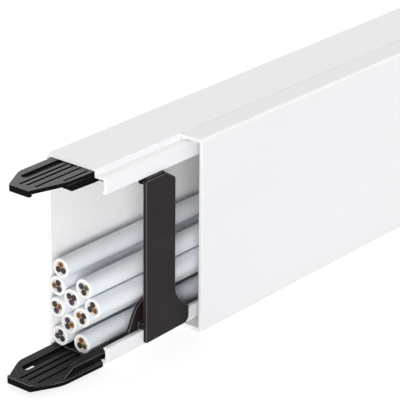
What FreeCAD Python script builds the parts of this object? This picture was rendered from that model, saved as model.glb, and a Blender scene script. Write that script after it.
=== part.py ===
"""Wall cable trunking, 40 x 90 mm and 2 m long, as one parametric document.

A white PVC base of C section carries a clip-on cover that starts a little way in from the near end.
Two black couplings stand out of that end, a black cable retainer bridges the open mouth of the base,
and ten three-core cables lie along the inside. Every piece is drawn in the section's own frame: X runs
along the trunking from its near end, the back face is at Y = 0 with the mouth towards -Y, and the
underside is at Z = 0. A common placement then puts the origin under the middle of the whole part.
"""
import FreeCAD, Part
import math
import os

import Sketcher

os.makedirs("parts", exist_ok=True)
doc = FreeCAD.newDocument("CableTrunking")
V = FreeCAD.Vector

SIZES = {
    # the base and its mouth
    "trunking_length": 2000, "trunking_height": 90, "trunking_depth": 40,
    "base_wall": 1.5, "back_corner_radius": 0.8,
    "cover_flange": 12.2, "rebate_drop": 2.8,
    "lip_setback": 7.3, "lip_reach": 10.3, "lip_corner_radius": 1.8,
    "lip_bead": 0.9, "lip_bead_height": 1.8,
    # the cover
    "cover_setback": 52.7, "cover_wall": 2.0, "cover_corner_radius": 1.8,
    "cover_joint": 0.15, "cover_bead_width": 1.6,
    # screw slots in the back wall
    "slot_width": 5.5, "slot_length": 11, "slot_pitch": 500, "slot_from_edge": 22.5,
    # the couplings
    "coupling_plate": 2.0, "coupling_inside": 60, "coupling_play": 0.2, "coupling_back_gap": 1.0,
    "lower_reach": 37.5, "upper_reach": 32.2, "lower_shoulder": 12.5, "upper_shoulder": 17,
    "lower_spread": 1.2, "upper_spread": 1.0, "lower_shelf_start": -4, "upper_shelf_start": 4,
    "tip_front": 17.5, "tip_width": 10.9, "tip_bar_length": 1.6, "tip_bar_height": 1.1,
    "taper_length": 12.7, "shoulder_drop": 0.8,
    "wide_slot": 3.2, "thin_slot": 0.9, "groove_width": 0.8, "groove_depth": 0.7,
    "stop_ridge_width": 0.9, "stop_ridge_height": 0.7,
    "rail_from_tip": 14.7, "rail_width": 1.5, "rail_height": 2.7, "rail_ramp": 5.8,
    # the cable retainer
    "retainer_start": 22.5, "retainer_width": 18.8, "retainer_foot": 9.1,
    "retainer_plate": 1.9, "retainer_play": 0.2, "hook_wall": 1.5,
    # the cables
    "cable_diameter": 8.8, "cable_play": 0.06, "sheath_wall": 1.3,
    "core_diameter": 2.7, "core_play": 0.1,
}

sheet = doc.addObject("Spreadsheet::Sheet", "Sizes")
for row, (name, value) in enumerate(SIZES.items(), start=1):
    sheet.set(f"A{row}", name)
    sheet.set(f"B{row}", str(value))
    sheet.setAlias(f"B{row}", name)
doc.recompute()


class Size(float):
    """A number together with the spreadsheet expression that it comes from."""

    def __new__(cls, value, text=None):
        size = super().__new__(cls, value)
        size.text = text or repr(float(value))
        return size

    def combine(self, other, sign, value):
        return Size(value, f"({self.text} {sign} {Size.of(other).text})")

    @staticmethod
    def of(value):
        return value if isinstance(value, Size) else Size(value)

    def __add__(self, other):
        return self.combine(other, "+", float(self) + float(other))

    def __sub__(self, other):
        return self.combine(other, "-", float(self) - float(other))

    def __mul__(self, other):
        return self.combine(other, "*", float(self) * float(other))

    def __truediv__(self, other):
        return self.combine(other, "/", float(self) / float(other))

    def __radd__(self, other):
        return Size.of(other) + self

    def __rsub__(self, other):
        return Size.of(other) - self

    def __rmul__(self, other):
        return Size.of(other) * self

    def __neg__(self):
        return Size(-float(self), f"(-1 * {self.text})")


def size(name):
    """Read one driving size from the sheet."""
    return Size(sheet.get(name), f"Sizes.{name}")


def bind(thing, prop, value):
    """Tie a property of an object to the sheet."""
    thing.setExpression(prop, Size.of(value).text)


length = size("trunking_length")
height = size("trunking_height")
depth = size("trunking_depth")
wall = size("base_wall")

# The step where the cover's flange ends and the front of the lips, both out from the back face.
rebate = depth - size("cover_flange")
lip = depth - size("lip_setback")

# The row's origin lies under the middle of the whole part, couplings included.
origin_x = -(length - size("lower_reach")) / 2
origin_y = depth / 2


def put_in_place(thing, label):
    """Name a finished sub-part and move it from the section's frame to the part's frame."""
    thing.Label = label
    bind(thing, "Placement.Base.x", origin_x)
    bind(thing, "Placement.Base.y", origin_y)
    return thing


def new_body(label):
    body = doc.addObject("PartDesign::Body", label)
    return put_in_place(body, label)


def new_sketch(body, name, plane, offset=0):
    """Add a sketch on one of the body's origin planes, moved along that plane's normal."""
    support = next(f for f in body.Origin.OriginFeatures if f.Role == plane)
    sketch = body.newObject("Sketcher::SketchObject", name)
    sketch.AttachmentSupport = [(support, "")]
    sketch.MapMode = "FlatFace"
    bind(sketch, "AttachmentOffset.Base.z", offset)
    return sketch


def fix_point(sketch, geometry, end, across, up):
    """Dimension one point of a sketch from the origin, both ways, and tie it to the sheet."""
    for kind, value, axis in (("DistanceX", Size.of(across), -2), ("DistanceY", Size.of(up), -1)):
        if value == 0:
            sketch.addConstraint(Sketcher.Constraint("PointOnObject", geometry, end, axis))
            continue
        ends = (-1, 1, geometry, end) if value > 0 else (geometry, end, -1, 1)
        value = value if value > 0 else -value
        index = sketch.addConstraint(Sketcher.Constraint(kind, *ends, float(value)))
        bind(sketch, f"Constraints[{index}]", value)


def draw_outline(sketch, corners):
    """Draw a closed outline through corners (across, up) or, rounded, (across, up, radius)."""
    points = [V(float(c[0]), float(c[1]), 0) for c in corners]
    radii = [Size.of(c[2]) if len(c) > 2 else Size(0) for c in corners]
    count = len(corners)
    starts, ends, arcs = [], [], []
    for i in range(count):
        into = (points[i] - points[i - 1]).normalize()
        out = (points[(i + 1) % count] - points[i]).normalize()
        turn = math.atan2(into.x * out.y - into.y * out.x, into.dot(out))
        tangent = float(radii[i]) * math.tan(abs(turn) / 2)
        ends.append(points[i] - into * tangent)
        starts.append(points[i] + out * tangent)
        side = V(-into.y, into.x, 0) * math.copysign(1, turn)
        arcs.append((ends[i] + side * float(radii[i]), turn))
    lines = [sketch.addGeometry(Part.LineSegment(starts[i], ends[(i + 1) % count])) for i in range(count)]
    for i in range(count):
        before, after = lines[i - 1], lines[i]
        if radii[i] == 0:
            sketch.addConstraint(Sketcher.Constraint("Coincident", before, 2, after, 1))
            fix_point(sketch, after, 1, corners[i][0], corners[i][1])
            continue
        centre, turn = arcs[i]
        first, last = (ends[i], starts[i]) if turn > 0 else (starts[i], ends[i])
        angles = [math.atan2(p.y - centre.y, p.x - centre.x) for p in (first, last)]
        circle = Part.Circle(centre, V(0, 0, 1), float(radii[i]))
        arc = sketch.addGeometry(Part.ArcOfCircle(circle, angles[0], angles[1]))
        enter, leave = (1, 2) if turn > 0 else (2, 1)
        corner = sketch.addGeometry(Part.Point(points[i]), True)
        sketch.addConstraint(Sketcher.Constraint("Tangent", before, 2, arc, enter))
        sketch.addConstraint(Sketcher.Constraint("Tangent", arc, leave, after, 1))
        index = sketch.addConstraint(Sketcher.Constraint("Radius", arc, float(radii[i])))
        bind(sketch, f"Constraints[{index}]", radii[i])
        fix_point(sketch, corner, 1, corners[i][0], corners[i][1])
        sketch.addConstraint(Sketcher.Constraint("PointOnObject", corner, 1, before))
        sketch.addConstraint(Sketcher.Constraint("PointOnObject", corner, 1, after))


def draw_slot(sketch, start, end, across, width):
    """Draw a round-ended slot along the sketch's first axis, between the centres of its two ends."""
    half = width / 2
    low, high = float(across - half), float(across + half)
    quarter = math.pi / 2
    near = sketch.addGeometry(Part.ArcOfCircle(
        Part.Circle(V(start, across, 0), V(0, 0, 1), half), quarter, 3 * quarter))
    far = sketch.addGeometry(Part.ArcOfCircle(
        Part.Circle(V(end, across, 0), V(0, 0, 1), half), -quarter, quarter))
    bottom = sketch.addGeometry(Part.LineSegment(V(start, low, 0), V(end, low, 0)))
    top = sketch.addGeometry(Part.LineSegment(V(end, high, 0), V(start, high, 0)))
    for first, end_of_first, second, end_of_second in (
            (near, 2, bottom, 1), (bottom, 2, far, 1), (far, 2, top, 1), (top, 2, near, 1)):
        sketch.addConstraint(Sketcher.Constraint("Tangent", first, end_of_first, second, end_of_second))
    sketch.addConstraint(Sketcher.Constraint("Equal", near, far))
    index = sketch.addConstraint(Sketcher.Constraint("Radius", near, float(half)))
    bind(sketch, f"Constraints[{index}]", half)
    fix_point(sketch, near, 3, start, across)
    fix_point(sketch, far, 3, end, across)


def add_pad(body, sketch, name, amount):
    pad = body.newObject("PartDesign::Pad", name)
    pad.Profile = sketch
    bind(pad, "Length", amount)
    doc.recompute()
    return pad


def add_pocket(body, sketch, name, amount, reverse=False):
    """Cut a pocket and make sure that it took material away."""
    before = body.Shape.Volume
    pocket = body.newObject("PartDesign::Pocket", name)
    pocket.Profile = sketch
    bind(pocket, "Length", amount)
    pocket.Reversed = reverse
    doc.recompute()
    assert body.Shape.Volume < before - 0.1, f"{name} cuts nothing"
    return pocket


def mirror_section(upper):
    """Complete a section, given from its back to its mouth and in again, with its lower half."""
    lower = [(corner[0], height - corner[1], *corner[2:]) for corner in reversed(upper)]
    return upper + lower


def make_base():
    """The extruded PVC base: back wall, two side walls, a rebate for the cover and inturned lips."""
    body = new_body("trunking_base")
    floor = height - size("rebate_drop")
    lip_end = height - size("lip_reach")
    radius = size("lip_corner_radius")
    bead = size("lip_bead")
    bead_top = lip_end + size("lip_bead_height")
    outside = [
        (0, height, size("back_corner_radius")),
        (-rebate, height),
        (-rebate, floor),
        (-lip, floor, radius),
        (-lip, lip_end, wall / 3),
    ]
    inside = [
        (-(lip - wall - bead), lip_end, wall / 3),
        (-(lip - wall - bead), bead_top - bead),
        (-(lip - wall), bead_top),
        (-(lip - wall), floor - wall, radius - wall),
        (-(rebate - wall), floor - wall),
        (-(rebate - wall), height - wall),
        (-wall, height - wall),
    ]
    sketch = new_sketch(body, "base_section", "YZ_Plane")
    draw_outline(sketch, mirror_section(outside + inside))
    add_pad(body, sketch, "base_extrusion", length)
    add_screw_slots(body)
    return body


def add_screw_slots(body):
    """Punch two rows of screw slots through the back wall, all along it."""
    pitch = size("slot_pitch")
    half_run = (size("slot_length") - size("slot_width")) / 2
    edge = size("slot_from_edge")
    sketch = new_sketch(body, "slot_pair", "XZ_Plane")
    for row in (edge, height - edge):
        draw_slot(sketch, pitch / 2 - half_run, pitch / 2 + half_run, row, size("slot_width"))
    pocket = add_pocket(body, sketch, "screw_slots", wall * 2, reverse=True)
    count = int(float(length) // float(pitch))
    pattern = body.newObject("PartDesign::LinearPattern", "slot_rows")
    pattern.Originals = [pocket]
    along = next(f for f in body.Origin.OriginFeatures if f.Role == "X_Axis")
    pattern.Direction = (along, [""])
    bind(pattern, "Length", pitch * (count - 1))
    pattern.Occurrences = count
    body.Tip = pattern
    doc.recompute()


def make_cover():
    """The extruded PVC cover: a flat front with two flanges whose beads grip the rebates."""
    body = new_body("trunking_cover")
    shell = size("cover_wall")
    radius = size("cover_corner_radius")
    back = rebate + size("cover_joint")
    bead_in = height - size("rebate_drop") + size("cover_joint")
    bead_front = back + size("cover_bead_width")
    section = [
        (-back, height),
        (-depth, height, radius),
    ]
    inner = [
        (-(depth - shell), height - shell, radius / 3),
        (-(bead_front + height - shell - bead_in), height - shell),
        (-bead_front, bead_in),
        (-back, bead_in),
    ]
    lower = [(c[0], height - c[1], *c[2:]) for c in reversed(section)]
    lower_inner = [(c[0], height - c[1], *c[2:]) for c in reversed(inner)]
    sketch = new_sketch(body, "cover_section", "YZ_Plane", size("cover_setback"))
    draw_outline(sketch, section + lower + lower_inner + inner)
    add_pad(body, sketch, "cover_extrusion", length - size("cover_setback"))
    return body


def draw_channels(sketch, channels):
    """Draw parallel round-ended channels along X: (depth of the centre, width, start, end)."""
    for centre, width, start, end in channels:
        half = width / 2
        draw_slot(sketch, start + half, end - half, -centre, width)


def make_coupling(label, hand):
    """One moulded coupling on the base's lower wall: a slotted tongue with a rail along its front edge.

    Inside the base the tongue fills the channel between the back wall and the step of the rebate, and
    the rail widens into a shelf over the rebate's floor, as far as the lip. Outside, everything is
    spread from the back edge by a factor, so that the lower tongue's shoulder stops against the base.
    """
    body = new_body(label)
    plate = size("coupling_plate")
    play = size("coupling_play")
    end = size("coupling_inside")
    spread = size(f"{hand}_spread")
    shelf_start = size(f"{hand}_shelf_start")
    tip = -size(f"{hand}_reach")
    back = wall + size("coupling_back_gap")
    front = rebate - wall - play
    surface = wall + plate

    def out(distance):
        """A place at a distance from the tongue's back edge, spread."""
        return back + distance * spread

    outer_front = out(front - back)
    tip_front = out(size("tip_front"))
    tip_back = out(size("tip_front") - size("tip_width"))
    taper_start = tip + size("taper_length") * spread
    shoulder = tip + size(f"{hand}_shoulder")
    shoulder_front = outer_front - size("shoulder_drop")
    step = outer_front - front
    stops = step > 0.5
    sketch = new_sketch(body, "tongue_outline", "XY_Plane", wall)
    outline = [
        (end, -back, 1.5),
        (taper_start, -back, 10),
        (tip, -tip_back, 1.5),
        (tip, -tip_front, 0.8),
        (shoulder, -shoulder_front, 16),
    ]
    outline += [(-play, -outer_front, step * 0.2), (-play, -front)] if stops else [(2, -front)]
    draw_outline(sketch, outline + [(end, -front, 1.5)])
    add_pad(body, sketch, "tongue", plate)

    # A bar thickens the tip on the side of the cables. Its sides follow the tongue's edges.
    bar = size("tip_bar_length")
    bar_back = tip_back - (tip_back - back) / (taper_start - tip) * bar
    bar_front = tip_front + (shoulder_front - tip_front) / (shoulder - tip) * bar
    sketch = new_sketch(body, "tip_bar_outline", "XY_Plane", surface)
    draw_outline(sketch, [(tip + bar, -bar_back), (tip, -tip_back, 1.5), (tip, -tip_front, 0.8),
                          (tip + bar, -bar_front)])
    add_pad(body, sketch, "tip_bar", size("tip_bar_height"))

    # A wide slot near the tip and two thin ones go right through the tongue.
    thin = size("thin_slot")
    wide_width = size("wide_slot") * spread
    wide_start = tip + 9 * spread
    sketch = new_sketch(body, "tongue_slots", "XY_Plane", surface)
    draw_channels(sketch, [
        (out(5.8), wide_width, wide_start, tip + 17 * spread),
        (out(9.9), thin, tip + 3 * spread, -1.5),
        (out(13), thin, tip + 4 * spread, 3),
    ])
    add_pocket(body, sketch, "slots", plate * 2)

    # The wide slot goes on as a recess, with shallow grooves beside it, on both faces. One more groove
    # crosses the wall's face at the base's end.
    groove = size("groove_width")
    recess = (out(5.8), wide_width, wide_start, 8)
    middle_groove = (out(16.8), groove, tip + 4.8 * spread, 1)
    edge_groove = (out(21.2), groove, tip + 16.7, -1.5)
    sketch = new_sketch(body, "upper_grooves", "XY_Plane", surface)
    draw_channels(sketch, [recess, middle_groove])
    add_pocket(body, sketch, "grooves_on_top", size("groove_depth"))
    sketch = new_sketch(body, "lower_grooves", "XY_Plane", wall)
    draw_channels(sketch, [recess, middle_groove, edge_groove])
    draw_outline(sketch, [(-0.9, -out(7.9)), (-0.9, -out(14.6)), (0.4, -out(14.6)), (0.4, -out(7.9))])
    add_pocket(body, sketch, "grooves_below", size("groove_depth"), reverse=True)

    # The ridge that stops against the end of the trunking.
    ridge_end = Size(-0.4)
    ridge_start = ridge_end - size("stop_ridge_width")
    sketch = new_sketch(body, "stop_outline", "XY_Plane", surface)
    draw_outline(sketch, [(ridge_start, -out(5.5)), (ridge_start, -out(18)), (ridge_end, -out(18)),
                          (ridge_end, -out(5.5))])
    add_pad(body, sketch, "stop_ridge", size("stop_ridge_height"))

    # The rail stands on the tongue a little inside its front edge and starts with a ramp.
    rail_top = size("rebate_drop") + wall + size("rail_height")
    rail_width = size("rail_width")
    rail_start = tip + size("rail_from_tip")
    rail_end = end - 2
    rail_front = front - 0.6
    start_front = shoulder_front - spread
    sketch = new_sketch(body, "rail_outline", "XY_Plane", surface)
    outline = [
        (rail_end, -(rail_front - rail_width)),
        (0.5, -(rail_front - rail_width)),
        (rail_start, -(start_front - rail_width)),
        (rail_start, -start_front),
    ]
    outline += [(-play, -(outer_front - spread)), (-play, -rail_front)] if stops else [(0.5, -rail_front)]
    draw_outline(sketch, outline + [(rail_end, -rail_front)])
    add_pad(body, sketch, "rail", rail_top - surface)
    ramp_end = rail_start + size("rail_ramp")
    sketch = new_sketch(body, "rail_slope", "XZ_Plane", start_front - rail_width - 1)
    draw_outline(sketch, [(rail_start, surface), (ramp_end, rail_top), (ramp_end, rail_top + 1),
                          (rail_start - 1, rail_top + 1), (rail_start - 1, surface)])
    add_pocket(body, sketch, "rail_lead", outer_front - start_front + rail_width + 1, reverse=True)

    # Inside the base the rail carries a shelf over the rebate's floor.
    shelf_bottom = size("rebate_drop") + wall + play
    shelf_front = lip - wall - size("lip_bead") - play * 3
    shelf_back = rail_front - rail_width / 2
    sketch = new_sketch(body, "shelf_outline", "XY_Plane", shelf_bottom)
    draw_outline(sketch, [
        (rail_end, -shelf_back),
        (shelf_start, -shelf_back),
        (shelf_start, -(shelf_front - 0.3)),
        (shelf_start + 4.2, -shelf_front),
        (rail_end, -shelf_front, 1),
    ])
    add_pad(body, sketch, "shelf", rail_top - shelf_bottom)
    return body


def make_retainer():
    """The moulded retainer that hooks behind both lips and keeps the cables in the mouth."""
    body = new_body("cable_retainer")
    plate = size("retainer_plate")
    play = size("retainer_play")
    hook = size("hook_wall")
    front_of_lip = lip + play
    behind_lip = lip - wall - size("lip_bead") - play
    hook_back = behind_lip - hook
    neck_depth = front_of_lip - hook_back
    lower_lip_end = size("lip_reach")
    upper_lip_end = height - lower_lip_end
    left = size("retainer_start")
    right = left + size("retainer_width")
    foot = right + size("retainer_foot")
    top = upper_lip_end - 0.5
    bottom = lower_lip_end / 2 - 0.4
    sketch = new_sketch(body, "plate_outline", "XZ_Plane", front_of_lip)
    draw_outline(sketch, [
        (left, bottom, 0.5),
        (foot, bottom + 0.5, 3),
        (foot, bottom + 7.8, 0.8),
        (right, bottom + 16, 9),
        (right, top - 3.6, 1.5),
        (right - 5.4, top, 1.5),
        (left, top, 1.2),
    ])
    add_pad(body, sketch, "plate", plate)

    # At the top a neck passes under the lip and turns up behind it.
    neck_left = left + 2
    neck_right = right - 5
    neck_bottom = top - 3
    sketch = new_sketch(body, "upper_neck", "XZ_Plane", hook_back)
    draw_outline(sketch, [(neck_left, neck_bottom), (neck_right, neck_bottom),
                          (neck_right, upper_lip_end - play), (neck_left, upper_lip_end - play)])
    add_pad(body, sketch, "upper_neck_pad", neck_depth)
    hook_top = upper_lip_end + size("lip_bead_height") + 0.9
    sketch = new_sketch(body, "upper_hook", "XZ_Plane", hook_back)
    draw_outline(sketch, [(neck_left, neck_bottom), (neck_right, neck_bottom),
                          (neck_right, hook_top), (neck_left, hook_top)])
    add_pad(body, sketch, "upper_hook_pad", hook)

    # At the bottom the neck runs the plate's whole width, and the hook flares towards the near end.
    neck_bottom = lower_lip_end + play
    neck_top = neck_bottom + 2.8
    sketch = new_sketch(body, "lower_neck", "XZ_Plane", hook_back)
    draw_outline(sketch, [(left, neck_bottom), (right, neck_bottom), (right, neck_top), (left, neck_top)])
    add_pad(body, sketch, "lower_neck_pad", neck_depth)
    hook_bottom = lower_lip_end - size("lip_bead_height") - 0.9
    sketch = new_sketch(body, "lower_hook", "XZ_Plane", hook_back)
    hook_left = left - 6
    draw_outline(sketch, [
        (hook_left, hook_bottom),
        (right, hook_bottom),
        (right, lower_lip_end + 9),
        (hook_left + 9.6, lower_lip_end + 13, 1.5),
        (hook_left + 4.8, lower_lip_end + 10, 6),
        (hook_left, lower_lip_end + 1, 3),
    ])
    add_pad(body, sketch, "lower_hook_pad", hook)
    return body


# Each cable, from the bottom of the stack up: where it lies between the back wall and the retainer, as
# a share of the room; how far it stands out of the base; the turn of its cores; and their colours.
CABLES = [
    (0.00, 0.3, 100, ("black", "black", "blue")),
    (0.55, 0.3, 80, ("brown", "green_yellow", "black")),
    (0.23, 0.3, 60, ("blue", "brown", "black")),
    (0.10, 4.4, 160, ("brown", "blue", "black")),
    (0.55, 0.3, 20, ("brown", "black", "black")),
    (0.41, 2.8, 30, ("black", "black", "blue")),
    (0.04, 2.5, 110, ("black", "blue", "brown")),
    (0.83, 0.3, 90, ("black", "brown", "blue")),
    (0.69, 2.1, 150, ("green_yellow", "black", "blue")),
    (0.13, 2.3, 90, ("brown", "black", "black")),
]
COLOURS = ("brown", "black", "blue", "green_yellow")


def make_rod(name, diameter, across, up, stand_out):
    """A round bar along the trunking, flush with its far end."""
    rod = doc.addObject("Part::Cylinder", name)
    bind(rod, "Radius", diameter / 2)
    bind(rod, "Height", length + stand_out)
    rod.Placement = FreeCAD.Placement(V(-stand_out, across, up), FreeCAD.Rotation(V(0, 1, 0), 90))
    return rod


def stack_cables(diameter):
    """Lay the cables one by one, each as low as the coupling and the cables under it let it lie."""
    pitch = diameter + size("cable_play")
    nearest = wall + pitch / 2
    room = lip + size("retainer_play") - diameter / 2 - nearest
    centres = []
    for share, *_ in CABLES:
        out = float(nearest + room * share)
        up = float(wall + size("coupling_plate") + pitch / 2)
        for other_out, other_up in centres:
            aside = abs(out - other_out)
            if aside < pitch:
                up = max(up, other_up + math.sqrt(pitch ** 2 - aside ** 2))
        centres.append((out, up))
    return centres


def make_cables():
    """Ten sheathed cables, each with three insulated cores lying in its round sheath."""
    diameter = size("cable_diameter")
    bore = diameter - size("sheath_wall") * 2
    core = size("core_diameter")
    throw = (core + size("core_play")) / math.sqrt(3)
    sheaths = []
    cores = {colour: [] for colour in COLOURS}
    for number, ((_, stand_out, turn, colours), (out, centre)) in enumerate(
            zip(CABLES, stack_cables(diameter)), start=1):
        tag = f"{number:02d}"
        across = -out
        sheath = doc.addObject("Part::Cut", f"sheath_{tag}")
        sheath.Base = make_rod(f"jacket_{tag}", diameter, across, centre, stand_out)
        sheath.Tool = make_rod(f"bore_{tag}", bore, across, centre, stand_out)
        sheaths.append(put_in_place(sheath, f"cable_sheath_{tag}"))
        for third, colour in enumerate(colours):
            angle = math.radians(turn + 120 * third)
            aside = across + throw * math.cos(angle)
            lift = centre + throw * math.sin(angle)
            cores[colour].append(make_rod(f"core_{tag}_{third}", core, aside, lift, stand_out))
    bundles = []
    for colour, rods in cores.items():
        bundle = doc.addObject("Part::Compound", f"{colour}_bundle")
        bundle.Links = rods
        bundles.append(put_in_place(bundle, f"{colour}_cores"))
    return sheaths + bundles


def make_upper_coupling(lower):
    """The other coupling: the same moulding, opposite hand, on the base's upper wall."""
    upper = doc.addObject("Part::Mirroring", "upper_coupling")
    upper.Source = lower
    upper.Normal = V(0, 0, 1)
    bind(upper, "Base.z", height / 2)
    upper.Label = "upper_coupling"
    return upper


lower_coupling = make_coupling("lower_coupling", "lower")
upper_pattern = make_coupling("upper_pattern", "upper")
parts = [make_base(), make_cover(), lower_coupling, make_upper_coupling(upper_pattern), make_retainer()]
parts += make_cables()
doc.recompute()

for thing in doc.Objects:
    assert not {"Invalid", "Error"} & set(thing.State), f"{thing.Label}: {thing.State}"
for piece in parts:
    shape = piece.Shape
    assert not shape.isNull() and shape.isValid(), f"{piece.Label} is not a valid shape"
    shape.exportStep(f"parts/{piece.Label}.step")
    print(f"{piece.Label}: {len(shape.Solids)} solid(s), {shape.Volume / 1000:.1f} cm3")
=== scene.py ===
import math

import bpy
from mathutils import Matrix, Vector


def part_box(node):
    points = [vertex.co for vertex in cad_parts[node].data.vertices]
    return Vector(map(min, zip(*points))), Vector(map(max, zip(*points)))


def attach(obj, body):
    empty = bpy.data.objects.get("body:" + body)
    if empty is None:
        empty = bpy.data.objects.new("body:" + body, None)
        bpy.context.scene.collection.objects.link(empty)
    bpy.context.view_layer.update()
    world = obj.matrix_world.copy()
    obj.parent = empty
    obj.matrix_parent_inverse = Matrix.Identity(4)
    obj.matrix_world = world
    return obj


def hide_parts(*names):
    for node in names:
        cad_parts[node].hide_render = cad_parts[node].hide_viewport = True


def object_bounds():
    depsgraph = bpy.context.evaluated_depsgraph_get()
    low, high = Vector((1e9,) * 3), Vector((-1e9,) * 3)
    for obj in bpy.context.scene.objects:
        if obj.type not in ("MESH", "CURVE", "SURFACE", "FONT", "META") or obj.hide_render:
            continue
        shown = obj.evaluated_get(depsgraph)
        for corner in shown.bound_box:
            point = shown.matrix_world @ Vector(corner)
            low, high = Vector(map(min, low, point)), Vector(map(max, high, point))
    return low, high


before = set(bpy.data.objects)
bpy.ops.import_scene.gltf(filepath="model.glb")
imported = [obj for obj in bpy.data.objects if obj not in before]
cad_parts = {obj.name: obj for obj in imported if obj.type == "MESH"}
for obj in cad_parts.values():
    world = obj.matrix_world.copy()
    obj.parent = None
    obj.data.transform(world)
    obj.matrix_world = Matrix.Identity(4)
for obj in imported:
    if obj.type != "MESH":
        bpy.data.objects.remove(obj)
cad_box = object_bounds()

# The base is an open channel of white rigid PVC, drawn through a die in one long run. The die leaves
# faint lines along it, and the saw that cuts it to length leaves the two ends duller than the rest.
# Every arris that the die forms is a little round, which is what makes it show as a light line.
MM = 0.001
BASE_ARRIS = 0.25 * MM
CUT_FACE_DEPTH = 0.5 * MM
# Real die lines and saw marks are finer. They are drawn this wide so that they show.
DIE_LINE_LENGTH = 150 * MM
DIE_LINE_WIDTH = 0.7 * MM
SHADE_LENGTH = 90 * MM
SHADE_WIDTH = 14 * MM
SAW_MARK_WIDTH = 0.35 * MM
SAW_MARK_HEIGHT = 6 * MM
SAW_MARK_DEPTH = 2 * MM
PVC_IOR = 1.53
SAME_POINT = 0.002 * MM
FLAT_WITHIN = math.radians(0.3)
SHARP_FROM = math.radians(35)
SMOOTH_UP_TO = math.radians(50)


def colour(code):
    """Turn an sRGB hex code into the linear colour that a shader takes."""
    channels = [int(code[i:i + 2], 16) / 255 for i in (1, 3, 5)]
    linear = [c / 12.92 if c <= 0.04045 else ((c + 0.055) / 1.055) ** 2.4 for c in channels]
    return (*linear, 1)


def add_node(tree, kind, settings, links=None):
    """Add one node, set its options and sockets by name, and link what feeds it."""
    node = tree.nodes.new(kind)
    for name, value in settings.items():
        if isinstance(name, str) and hasattr(node, name):
            setattr(node, name, value)
        else:
            node.inputs[name].default_value = value
    for name, source in (links or {}).items():
        tree.links.new(source, node.inputs[name])
    return node


def new_material(name, **sockets):
    """Start a material with the values that are the same all over the surface."""
    material = bpy.data.materials.new(name)
    material.use_nodes = True
    shader = material.node_tree.nodes["Principled BSDF"]
    for socket, value in sockets.items():
        shader.inputs[socket.replace("_", " ")].default_value = value
    return material, material.node_tree, shader


def surface_noise(tree, spacing, detail=2.0):
    """A noise whose grain has the given real size along X, Y and Z."""
    place = add_node(tree, "ShaderNodeTexCoord", {})
    grain = add_node(tree, "ShaderNodeMapping", {"Scale": [1 / s for s in spacing]},
                     {"Vector": place.outputs["Object"]})
    return add_node(tree, "ShaderNodeTexNoise", {"Scale": 1.0, "Detail": detail},
                    {"Vector": grain.outputs["Vector"]}).outputs["Fac"]


def vary_colour(tree, shader, noise, first, second):
    """Let the colour drift between two near shades."""
    mix = add_node(tree, "ShaderNodeMix", {"data_type": "RGBA", 6: colour(first), 7: colour(second)},
                   {"Factor": noise})
    tree.links.new(mix.outputs[2], shader.inputs["Base Color"])


def vary_roughness(tree, shader, noise, low, high):
    """Let the gloss drift between two values."""
    spread = add_node(tree, "ShaderNodeMapRange", {"To Min": low, "To Max": high}, {"Value": noise})
    tree.links.new(spread.outputs["Result"], shader.inputs["Roughness"])


def raise_surface(tree, shader, noise, height, strength):
    """Give the surface a relief of the given height."""
    bump = add_node(tree, "ShaderNodeBump", {"Distance": height, "Strength": strength}, {"Height": noise})
    tree.links.new(bump.outputs["Normal"], shader.inputs["Normal"])


def extruded_pvc(name, light, dark):
    """Rigid PVC as it leaves the die: satin, near white, with lines along its length."""
    material, tree, shader = new_material(name, IOR=PVC_IOR)
    lines = surface_noise(tree, (DIE_LINE_LENGTH, DIE_LINE_WIDTH, DIE_LINE_WIDTH))
    shades = surface_noise(tree, (SHADE_LENGTH, SHADE_WIDTH, SHADE_WIDTH))
    vary_colour(tree, shader, shades, light, dark)
    vary_roughness(tree, shader, lines, 0.30, 0.42)
    raise_surface(tree, shader, lines, 0.02 * MM, 0.25)
    return material


def sawn_pvc(name, light, dark):
    """The same PVC where the saw went through: dull, with fine marks across the wall."""
    material, tree, shader = new_material(name, IOR=PVC_IOR)
    marks = surface_noise(tree, (SAW_MARK_DEPTH, SAW_MARK_WIDTH, SAW_MARK_HEIGHT), detail=3.0)
    vary_colour(tree, shader, marks, light, dark)
    vary_roughness(tree, shader, marks, 0.55, 0.75)
    raise_surface(tree, shader, marks, 0.04 * MM, 0.3)
    return material


def take_over(node, name, arris, materials):
    """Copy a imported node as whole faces, with round arrises in the last of the materials."""
    bpy.ops.object.select_all(action="DESELECT")
    piece = bpy.data.objects.new(name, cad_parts[node].data.copy())
    bpy.context.collection.objects.link(piece)
    bpy.context.view_layer.objects.active = piece
    piece.select_set(True)
    piece.data.materials.clear()
    for material in materials:
        piece.data.materials.append(material)
    bpy.ops.mesh.customdata_custom_splitnormals_clear()
    bpy.ops.object.mode_set(mode="EDIT")
    bpy.ops.mesh.select_all(action="SELECT")
    bpy.ops.mesh.remove_doubles(threshold=SAME_POINT)
    bpy.ops.mesh.dissolve_limited(angle_limit=FLAT_WITHIN)
    bpy.ops.object.mode_set(mode="OBJECT")
    round_arrises(piece, arris, segments=2, material=len(materials) - 1)
    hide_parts(node)
    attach(piece, "root")
    return piece


def round_arrises(piece, arris, segments, material=0):
    """Round every edge sharper than a facet's, in one of the materials, and keep the flats flat."""
    bevel = piece.modifiers.new("arris", "BEVEL")
    bevel.width = arris
    bevel.segments = segments
    bevel.limit_method = "ANGLE"
    bevel.angle_limit = SHARP_FROM
    bevel.use_clamp_overlap = False
    bevel.material = material
    bpy.ops.object.modifier_apply(modifier=bevel.name)
    split = piece.modifiers.new("split", "TRIANGULATE")
    split.quad_method = "FIXED"
    split.ngon_method = "BEAUTY"
    bpy.ops.object.modifier_apply(modifier=split.name)
    bpy.ops.object.shade_smooth_by_angle(angle=SMOOTH_UP_TO)
    flats = piece.modifiers.new("flats", "WEIGHTED_NORMAL")
    flats.keep_sharp = True
    bpy.ops.object.modifier_apply(modifier=flats.name)


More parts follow.
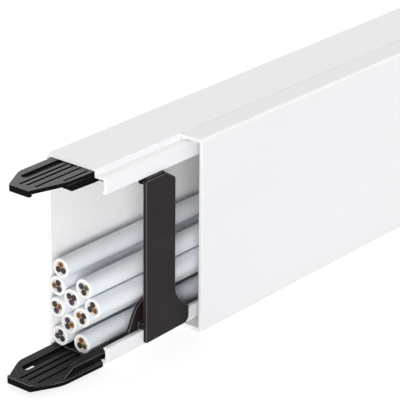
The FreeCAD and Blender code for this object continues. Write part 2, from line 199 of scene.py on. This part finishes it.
def mark_cut_ends(piece, depth, material):
    """Give a material to the faces that look along X and lie within a depth of either end."""
    near = min(v.co.x for v in piece.data.vertices)
    far = max(v.co.x for v in piece.data.vertices)
    for face in piece.data.polygons:
        at_end = face.center.x < near + depth or face.center.x > far - depth
        if at_end and abs(face.normal.x) > 0.3:
            face.material_index = material


base = take_over("trunking_base", "base_channel", BASE_ARRIS, [
    extruded_pvc("extruded_white_pvc", "#F8F8F8", "#F5F5F6"),
    sawn_pvc("sawn_white_pvc", "#E9E9E8", "#E2E2E1"),
    # The lip material is painted shade, a darker tone of the same PVC.
    extruded_pvc("white_pvc_lip_painted_shade", "#ECECEF", "#E9E9EC"),
    extruded_pvc("white_pvc_arris", "#F3F3F5", "#F0F0F2"),
])
# The fronts of the lips and rebates carry painted shade: the same extrusion, drawn a shade darker and
# cooler than the walls.
LIP_ZONE = 10 * MM
WALL_PVC, SAWN_PVC, LIP_SHADE_PVC = range(3)
base_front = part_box("trunking_base")[0].y
for face in base.data.polygons:
    looks_out = face.normal.y < -0.5 and face.center.y < base_front + LIP_ZONE
    if looks_out and face.material_index == WALL_PVC:
        face.material_index = LIP_SHADE_PVC
mark_cut_ends(base, CUT_FACE_DEPTH, SAWN_PVC)

# Two black couplings are moulded in polypropylene and pushed half-way into the near end, one on each
# side wall. The face on the wall is polished in the mould and the other is finely spark-eroded; the
# polished face is also drawn lighter, as painted sheen. The arrises carry a painted highlight, and the
# slots, grooves and upright sides carry painted shade, near black.
COUPLING_ARRIS = 0.2 * MM
COUPLING_PLATE = 2 * MM
WIDEST_SLOT = 4.2 * MM
GROOVE_FLOOR_DEPTH = 0.4 * MM
JUST_OFF = 0.01 * MM
# A spark-eroded grain is finer than this. It is drawn as coarse as it needs to be to show.
MOULD_GRAIN = 0.25 * MM
FLOW_LENGTH = 25 * MM
FLOW_WIDTH = 9 * MM
MOULDING_IOR = 1.49
ERODED, POLISHED_SHEEN, SLOT_SHADE, EDGE_HIGHLIGHT = range(4)


def moulded_plastic(name, light, dark, gloss, relief, shine):
    """A black moulding with the fine, even grain of a spark-eroded mould."""
    material, tree, shader = new_material(name, IOR=MOULDING_IOR, Specular_IOR_Level=shine)
    grain = surface_noise(tree, (MOULD_GRAIN,) * 3, detail=1.0)
    flow = surface_noise(tree, (FLOW_LENGTH, FLOW_WIDTH, FLOW_WIDTH))
    vary_colour(tree, shader, flow, light, dark)
    vary_roughness(tree, shader, flow, *gloss)
    raise_surface(tree, shader, grain, 0.03 * MM, relief)
    return material


def in_a_slot(piece, face, plate_low):
    """True for a face that looks at another across a slot, or is the bottom of a groove."""
    start = face.center + face.normal * JUST_OFF
    meets_another = piece.ray_cast(start, face.normal, distance=WIDEST_SLOT)[0]
    depth = face.center.z - plate_low
    inside = GROOVE_FLOOR_DEPTH < depth < COUPLING_PLATE - GROOVE_FLOOR_DEPTH
    return meets_another or (abs(face.normal.z) > 0.9 and inside)


coupling_finishes = [
    moulded_plastic("spark_eroded_black_polypropylene", "#121213", "#0D0D0E", (0.42, 0.52), 0.4, 0.13),
    # Polished face: glossier, and drawn lighter as painted sheen.
    moulded_plastic("polished_black_polypropylene_painted_sheen", "#2B2B2C", "#242425", (0.30, 0.38), 0.2, 0.5),
    # Painted shade for the slots, grooves and upright sides.
    moulded_plastic("painted_shade_black_polypropylene", "#070707", "#050505", (0.6, 0.7), 0.2, 0.06),
    # Painted highlight on the round arrises.
    moulded_plastic("painted_highlight_black_polypropylene", "#58585A", "#4A4A4C", (0.30, 0.40), 0.2, 0.5),
]
for side, wall_normal in (("lower", -1), ("upper", 1)):
    coupling = take_over(
        f"{side}_coupling", f"{side}_coupling_moulding", COUPLING_ARRIS, coupling_finishes)
    low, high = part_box(f"{side}_coupling")
    plate_low = low.z if side == "lower" else high.z - COUPLING_PLATE
    bpy.context.view_layer.update()
    slot_points = set()
    for face in coupling.data.polygons:
        if face.material_index != ERODED:
            continue
        # Slot faces, groove floors and upright sides get painted shade.
        if in_a_slot(coupling, face, plate_low):
            face.material_index = SLOT_SHADE
            slot_points.update(face.vertices)
        elif face.normal.z * wall_normal > 0.9:
            face.material_index = POLISHED_SHEEN
        elif abs(face.normal.z) < 0.3:
            face.material_index = SLOT_SHADE
    # Both strips of a slot's round arris get the slot's painted shade too.
    for strip in range(2):
        rims = [face for face in coupling.data.polygons
                if face.material_index == EDGE_HIGHLIGHT and slot_points.intersection(face.vertices)]
        for face in rims:
            face.material_index = SLOT_SHADE
            slot_points.update(face.vertices)

# Thin webs are added half-way down the plate, all in the slots' painted-shade black. One, moulded with
# the upper coupling, closes its wide slot. Two in the lower one's are a dark sheet of painted shade where
# the slot shows only shade beneath, and leave only a small window open.
WEB_THICKNESS = 0.5 * MM
WEB_ARRIS = 0.1 * MM


def add_web(name, coupling, near, far, inner, outer):
    """Add a web from near to far behind the tip and from inner to outer in front of the back edge."""
    low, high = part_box(coupling)
    if coupling == "lower_coupling":
        height = low.z + COUPLING_PLATE / 2
    else:
        height = high.z - COUPLING_PLATE / 2
    bpy.ops.object.select_all(action="DESELECT")
    bpy.ops.mesh.primitive_cube_add(
        size=1, location=(low.x + (near + far) / 2, high.y - (inner + outer) / 2, height),
        scale=(far - near, outer - inner, WEB_THICKNESS))
    bpy.ops.object.transform_apply(location=True, rotation=True, scale=True)
    web = bpy.context.object
    web.name = name
    web.data.materials.append(coupling_finishes[SLOT_SHADE])
    round_arrises(web, WEB_ARRIS, segments=1)
    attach(web, "root")


add_web("upper_slot_web", "upper_coupling", 8.9 * MM, 17.4 * MM, 4.1 * MM, 7.5 * MM)
add_web("lower_slot_shade_web", "lower_coupling", 17.2 * MM, 20.8 * MM, 4.9 * MM, 9 * MM)
add_web("lower_slot_shade_ledge", "lower_coupling", 10.7 * MM, 17.4 * MM, 4.9 * MM, 6.3 * MM)

# Each cable is a round grey PVC sheath over three insulated cores, with a soft pale filler between
# them. All are cut square with cutters, so the cut shows the sheath's lighter inside as a white ring
# with a rounded outer edge.
SHEATH_WALL = 1.3 * MM
SHEATH_SIDES = 64
SHEATH_CUT_EDGE = 0.3 * MM
SHEATH_CUT_DEPTH = 0.25 * MM
SHEATH_SMOOTH = math.radians(40)
SHEATH_GRAIN = (8 * MM, 0.6 * MM, 0.6 * MM)
SHEATH_SHADES = (60 * MM, 6 * MM, 6 * MM)
CUT_GRAIN = 0.4 * MM
CABLE_PVC_IOR = 1.52
CABLE_COUNT = 10
CUT_SHEATH = 1


def select_faces(piece, test):
    """In edit mode, select the faces that pass a test and nothing else."""
    bpy.ops.mesh.select_all(action="DESELECT")
    bpy.ops.object.mode_set(mode="OBJECT")
    for face in piece.data.polygons:
        face.select = test(face)
    bpy.ops.object.mode_set(mode="EDIT")


def select_edges(piece, test):
    """In edit mode, select the edges whose two ends pass a test and nothing else."""
    bpy.ops.mesh.select_all(action="DESELECT")
    bpy.ops.mesh.select_mode(type="EDGE")
    bpy.ops.object.mode_set(mode="OBJECT")
    points = piece.data.vertices
    for edge in piece.data.edges:
        edge.select = test(points[edge.vertices[0]].co, points[edge.vertices[1]].co)
    bpy.ops.object.mode_set(mode="EDIT")


def add_bar(name, near, far, centre, radius, sides):
    """Add a round bar along X between two places, with its place in its mesh."""
    bpy.ops.object.select_all(action="DESELECT")
    bpy.ops.mesh.primitive_cylinder_add(
        vertices=sides, radius=radius, depth=far - near, rotation=(0, math.pi / 2, 0),
        location=((near + far) / 2, centre[0], centre[1]))
    bpy.ops.object.transform_apply(location=True, rotation=True, scale=True)
    bar = bpy.context.object
    bar.name = name
    return bar


sheath_pvc, tree, shader = new_material("extruded_grey_sheath_pvc", IOR=CABLE_PVC_IOR)
sheath_grain = surface_noise(tree, SHEATH_GRAIN)
vary_colour(tree, shader, surface_noise(tree, SHEATH_SHADES), "#E2E6EB", "#DBDFE4")
vary_roughness(tree, shader, sheath_grain, 0.42, 0.55)
raise_surface(tree, shader, sheath_grain, 0.03 * MM, 0.3)

cut_sheath, tree, shader = new_material("cut_sheath_pvc", IOR=CABLE_PVC_IOR)
cut_grain = surface_noise(tree, (CUT_GRAIN,) * 3)
vary_colour(tree, shader, cut_grain, "#EBEAE9", "#E2E0DE")
vary_roughness(tree, shader, cut_grain, 0.6, 0.8)
raise_surface(tree, shader, cut_grain, 0.05 * MM, 0.3)

cables = []
for number in range(1, CABLE_COUNT + 1):
    node = f"cable_sheath_{number:02d}"
    low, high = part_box(node)
    centre = ((low.y + high.y) / 2, (low.z + high.z) / 2)
    radius = (high.z - low.z) / 2
    cables.append((number, low.x, high.x, centre, radius))
    sheath = add_bar(f"sheath_{number:02d}", low.x, high.x, centre, radius, SHEATH_SIDES)
    bpy.ops.object.mode_set(mode="EDIT")
    bpy.ops.mesh.select_mode(type="FACE")
    select_faces(sheath, lambda face: abs(face.normal.x) > 0.9)
    bpy.ops.mesh.inset(thickness=SHEATH_WALL)
    bpy.ops.mesh.bridge_edge_loops()
    middle = Vector((0, *centre))
    rim = radius - SHEATH_WALL / 2

    def on_outer_rim(first, second):
        """True for an edge that runs round the outside of one of the two cuts."""
        same_end = abs(first.x - second.x) < SAME_POINT
        return same_end and all((Vector((0, p.y, p.z)) - middle).length > rim for p in (first, second))

    select_edges(sheath, on_outer_rim)
    bpy.ops.mesh.bevel(offset=SHEATH_CUT_EDGE, segments=3)
    bpy.ops.mesh.select_all(action="SELECT")
    bpy.ops.mesh.normals_make_consistent(inside=False)
    bpy.ops.object.mode_set(mode="OBJECT")
    bpy.ops.object.shade_smooth_by_angle(angle=SHEATH_SMOOTH)
    sheath.data.materials.append(sheath_pvc)
    sheath.data.materials.append(cut_sheath)
    mark_cut_ends(sheath, SHEATH_CUT_DEPTH, CUT_SHEATH)
    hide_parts(node)
    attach(sheath, "root")

# Between the cores lies a soft extruded filler, cut with the cable and standing just inside the cut.
# Each core's copper wire shows as a small brown dot in the middle of its insulation.
CORE_RADIUS = 1.35 * MM
CORE_SPACING = 2.8 * MM
CORE_THROW = CORE_SPACING / math.sqrt(3)
# How far each cable is turned, in degrees, as in the solids.
CORE_TURNS = (100, 80, 60, 160, 20, 30, 110, 90, 150, 90)
CORE_CLEARANCE = 0.04 * MM
FILLER_RECESS = 0.25 * MM
FILLER_DEPTH = 6 * MM
FILLER_SIDES = 48
HOLE_SIDES = 32
COPPER_RADIUS = 0.69 * MM
COPPER_DEPTH = 4 * MM
COPPER_PROUD = 0.02 * MM
COPPER_ARRIS = 0.05 * MM
COPPER_SIDES = 20
CRUMB_SIZE = 0.5 * MM
CUT_MARK_SIZE = 0.2 * MM

filler_compound, tree, shader = new_material("soft_filler_compound", IOR=1.5)
crumbs = surface_noise(tree, (CRUMB_SIZE,) * 3, detail=3.0)
vary_colour(tree, shader, crumbs, "#DAD5D3", "#C4BDBA")
vary_roughness(tree, shader, crumbs, 0.7, 0.9)
raise_surface(tree, shader, crumbs, 0.1 * MM, 0.5)

copper, tree, shader = new_material("cut_copper", Metallic=1.0)
cut_marks = surface_noise(tree, (CUT_MARK_SIZE,) * 3)
vary_colour(tree, shader, cut_marks, "#6A4A32", "#45301F")
vary_roughness(tree, shader, cut_marks, 0.35, 0.55)
raise_surface(tree, shader, cut_marks, 0.03 * MM, 0.4)


def core_centres(centre, turn):
    """Where the three cores of a cable lie, a third of a turn apart."""
    angles = [math.radians(turn + 120 * third) for third in range(3)]
    return [(centre[0] + CORE_THROW * math.cos(a), centre[1] + CORE_THROW * math.sin(a)) for a in angles]


def join_as(name, pieces, material):
    """Join pieces into one object of one material that rides with the trunking."""
    bpy.ops.object.select_all(action="DESELECT")
    for piece in pieces:
        piece.select_set(True)
    bpy.context.view_layer.objects.active = pieces[0]
    bpy.ops.object.join()
    joined = bpy.context.object
    joined.name = name
    joined.data.materials.clear()
    joined.data.materials.append(material)
    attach(joined, "root")


for (number, near, far, centre, radius), turn in zip(cables, CORE_TURNS):
    spots = core_centres(centre, turn)
    bore = radius - SHEATH_WALL
    plugs, wires = [], []
    for start in (near + FILLER_RECESS, far - FILLER_RECESS - FILLER_DEPTH):
        plug = add_bar("plug", start, start + FILLER_DEPTH, centre, bore - CORE_CLEARANCE, FILLER_SIDES)
        holes = [add_bar("hole", start - MM, start + FILLER_DEPTH + MM, spot,
                         CORE_RADIUS + CORE_CLEARANCE, HOLE_SIDES) for spot in spots]
        bpy.ops.object.select_all(action="DESELECT")
        for hole in holes:
            hole.select_set(True)
        bpy.ops.object.join()
        drill = bpy.context.object
        bpy.ops.object.select_all(action="DESELECT")
        bpy.context.view_layer.objects.active = plug
        cut = plug.modifiers.new("core_holes", "BOOLEAN")
        cut.object = drill
        cut.solver = "EXACT"
        bpy.ops.object.modifier_apply(modifier=cut.name)
        bpy.data.objects.remove(drill)
        plugs.append(plug)
    join_as(f"cable_filler_{number:02d}", plugs, filler_compound)
    for start in (near - COPPER_PROUD, far + COPPER_PROUD - COPPER_DEPTH):
        for spot in spots:
            wire = add_bar("wire", start, start + COPPER_DEPTH, spot, COPPER_RADIUS, COPPER_SIDES)
            round_arrises(wire, COPPER_ARRIS, segments=1)
            wires.append(wire)
    join_as(f"copper_wires_{number:02d}", wires, copper)


# The cores' insulation is extruded PVC in the colours of the wiring rules, a little glossier than the
# sheath. The earth core is green with a yellow stripe along it.
INSULATION_LINES = (20 * MM, 0.3 * MM, 0.3 * MM)
STRIPE_SPACING = 2.9 * MM
GREEN_SHARE = 0.6


def core_insulation(name, light, dark):
    """Extruded insulation with faint lines along it, between two shades."""
    material, tree, shader = new_material(name, IOR=CABLE_PVC_IOR)
    lines = surface_noise(tree, INSULATION_LINES)
    vary_colour(tree, shader, lines, light, dark)
    vary_roughness(tree, shader, lines, 0.35, 0.5)
    raise_surface(tree, shader, lines, 0.02 * MM, 0.2)
    return material


def dress_cores(node, material):
    """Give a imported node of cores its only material."""
    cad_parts[node].data.materials.clear()
    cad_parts[node].data.materials.append(material)


for node, name, light, dark in (
        ("brown_cores", "brown_core_insulation", "#A0703C", "#744B27"),
        ("black_cores", "black_core_insulation", "#1E1A1B", "#141112"),
        ("blue_cores", "blue_core_insulation", "#2B3150", "#1D233A")):
    dress_cores(node, core_insulation(name, light, dark))

earth = core_insulation("green_yellow_core_insulation", "#41603A", "#8F8240")
tree = earth.node_tree
place = add_node(tree, "ShaderNodeTexCoord", {})
apart = add_node(tree, "ShaderNodeSeparateXYZ", {}, {"Vector": place.outputs["Object"]})
wave = add_node(tree, "ShaderNodeMath", {"operation": "WRAP", 1: STRIPE_SPACING, 2: 0.0},
                {0: apart.outputs["Z"]})
stripe = add_node(tree, "ShaderNodeMath", {"operation": "GREATER_THAN", 1: STRIPE_SPACING * GREEN_SHARE},
                  {0: wave.outputs["Value"]})
for link in list(tree.links):
    if link.to_node.bl_idname == "ShaderNodeMix" and link.to_socket.name == "Factor":
        tree.links.new(stripe.outputs["Value"], link.to_socket)
dress_cores("green_yellow_cores", earth)

# The retainer is one moulding in black polyamide. It hooks behind both lips and keeps the cables in
# while the cover is off. Its surface has the same fine grain as the couplings', a little warmer.
RETAINER_ARRIS = 0.28 * MM
RETAINER_PLATE = 1.9 * MM
NECK_HEIGHT = 8 * MM
FACE_FINISH, SHADED_FINISH = range(2)
retainer = take_over("cable_retainer", "retainer_moulding", RETAINER_ARRIS, [
    moulded_plastic("moulded_black_polyamide", "#221C1E", "#1B1618", (0.45, 0.55), 0.3, 0.16),
    moulded_plastic("shaded_black_polyamide", "#090808", "#060505", (0.5, 0.6), 0.3, 0.05),
    # Painted highlight on the round arrises.
    moulded_plastic("painted_highlight_black_polyamide", "#4F4A4C", "#433E40", (0.35, 0.45), 0.2, 0.4),
])
# The neck and the hook behind the upper lip, and the faces on top up there, carry painted shade, as
# hardly any light gets to them.
low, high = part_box("cable_retainer")
for face in retainer.data.polygons:
    behind_plate = face.center.y > low.y + RETAINER_PLATE + RETAINER_ARRIS
    on_top = face.normal.z > 0.7 and face.material_index == FACE_FINISH
    if face.center.z > high.z - NECK_HEIGHT and (behind_plate or on_top):
        face.material_index = SHADED_FINISH

# The cover is a second PVC extrusion that grips the base's two rebates. It is made from the same
# compound. Its front carries painted shade, a shade darker and cooler than its flanges, and its sawn ends
# are duller.
COVER_ARRIS = 0.35 * MM
SHADED_FRONT_PVC, SAWN_COVER_PVC, FLANGE_PVC = range(3)
cover = take_over("trunking_cover", "cover_extrusion", COVER_ARRIS, [
    # The front material is painted shade, a darker tone of the same PVC.
    extruded_pvc("cover_front_painted_shade_pvc", "#E7E7EA", "#E4E4E6"),
    sawn_pvc("sawn_cover_pvc", "#DEDEDF", "#D8D8D9"),
    extruded_pvc("cover_flange_pvc", "#F4F4F4", "#F1F1F2"),
    extruded_pvc("cover_pvc_arris", "#F6F6F8", "#F3F3F4"),
])
for face in cover.data.polygons:
    if face.material_index == SHADED_FRONT_PVC and abs(face.normal.z) > 0.5:
        face.material_index = FLANGE_PVC
mark_cut_ends(cover, CUT_FACE_DEPTH, SAWN_COVER_PVC)

# The studio: a white floor that keeps a trace of the trunking's shadow, a white room all round, and
# distant soft lamps, the strongest of them low off the near end.
FLOOR_SIZE = 30
FLOOR_BOUNCE = 0.07
FLOOR_GLOW = 1.25
GLOW_SHARE = 0.62
ROOM_LIGHT = 0.32
SHOWN_ROOM = 1.0
SOFTNESS = math.radians(35)


def seen_directly(tree):
    """1 for rays from the camera, from gloss and through clear things, and 0 for the rest."""
    path = add_node(tree, "ShaderNodeLightPath", {})
    seen = add_node(tree, "ShaderNodeMath", {"operation": "MAXIMUM"},
                    {0: path.outputs["Is Camera Ray"], 1: path.outputs["Is Glossy Ray"]})
    return add_node(tree, "ShaderNodeMath", {"operation": "MAXIMUM"},
                    {0: seen.outputs["Value"], 1: path.outputs["Is Transmission Ray"]}).outputs["Value"]


bpy.ops.object.select_all(action="DESELECT")
bpy.ops.mesh.primitive_plane_add(size=FLOOR_SIZE, location=(0, 0, 0))
floor = bpy.context.object
floor.name = "studio_floor"
white_floor, tree, shader = new_material(
    "white_studio_floor", Roughness=0.9, Base_Color=colour("#E6E6E6"),
    Emission_Color=(1, 1, 1, 1), Emission_Strength=FLOOR_BOUNCE)
glow = add_node(tree, "ShaderNodeEmission", {"Color": (1, 1, 1, 1), "Strength": FLOOR_GLOW})
shown = add_node(tree, "ShaderNodeMixShader", {"Fac": GLOW_SHARE},
                 {1: shader.outputs["BSDF"], 2: glow.outputs["Emission"]})
picked = add_node(tree, "ShaderNodeMixShader", {},
                  {"Fac": seen_directly(tree), 1: shader.outputs["BSDF"], 2: shown.outputs["Shader"]})
tree.links.new(picked.outputs["Shader"], tree.nodes["Material Output"].inputs["Surface"])
floor.data.materials.append(white_floor)

world = bpy.data.worlds.new("white_room")
bpy.context.scene.world = world
world.use_nodes = True
tree = world.node_tree
background = tree.nodes["Background"]
background.inputs["Color"].default_value = (1, 1, 1, 1)
strength = add_node(tree, "ShaderNodeMapRange", {"To Min": ROOM_LIGHT, "To Max": SHOWN_ROOM},
                    {"Value": seen_directly(tree)})
tree.links.new(strength.outputs["Result"], background.inputs["Strength"])

for name, away, power in (
        ("lamp_end", Vector((-2.35, -1.75, 0.2)), 4.5),
        ("lamp_top", Vector((0.8, 0.6, 3.4)), 0.62),
        ("lamp_back", Vector((0.9, 3.0, 2.0)), 0.6),
        ("lamp_far", Vector((2.8, -0.3, 1.2)), 0.5)):
    bpy.ops.object.light_add(type="SUN", location=away)
    lamp = bpy.context.object
    lamp.name = name
    lamp.data.angle = SOFTNESS
    lamp.data.energy = power
    lamp.rotation_euler = (-away).to_track_quat("-Z", "Y").to_euler()

# The camera stands where the photograph's did: off the near end, on the cover's side and above. Its
# place is measured from the base's lower back corner at the near end.
LENS_MM = 208.4
SENSOR_MM = 36
AZIMUTH, ELEVATION, ROLL = -50.62, 22.97, 0.51
CAMERA_FROM_NEAR_END = Vector((-644.6 * MM, -611.0 * MM, 444.8 * MM))
back_bottom = Vector((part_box("trunking_base")[0].x, cad_box[1].y, cad_box[0].z))
bpy.ops.object.camera_add(location=back_bottom + CAMERA_FROM_NEAR_END)
camera = bpy.context.object
camera.name = "photo_camera"
camera.data.lens = LENS_MM
camera.data.sensor_width = SENSOR_MM
turn = (Matrix.Rotation(math.radians(AZIMUTH), 3, "Z")
        @ Matrix.Rotation(math.radians(90 - ELEVATION), 3, "X")
        @ Matrix.Rotation(math.radians(ROLL), 3, "Z"))
camera.rotation_euler = turn.to_euler()
bpy.context.scene.camera = camera
bpy.context.scene.view_settings.view_transform = "Standard"
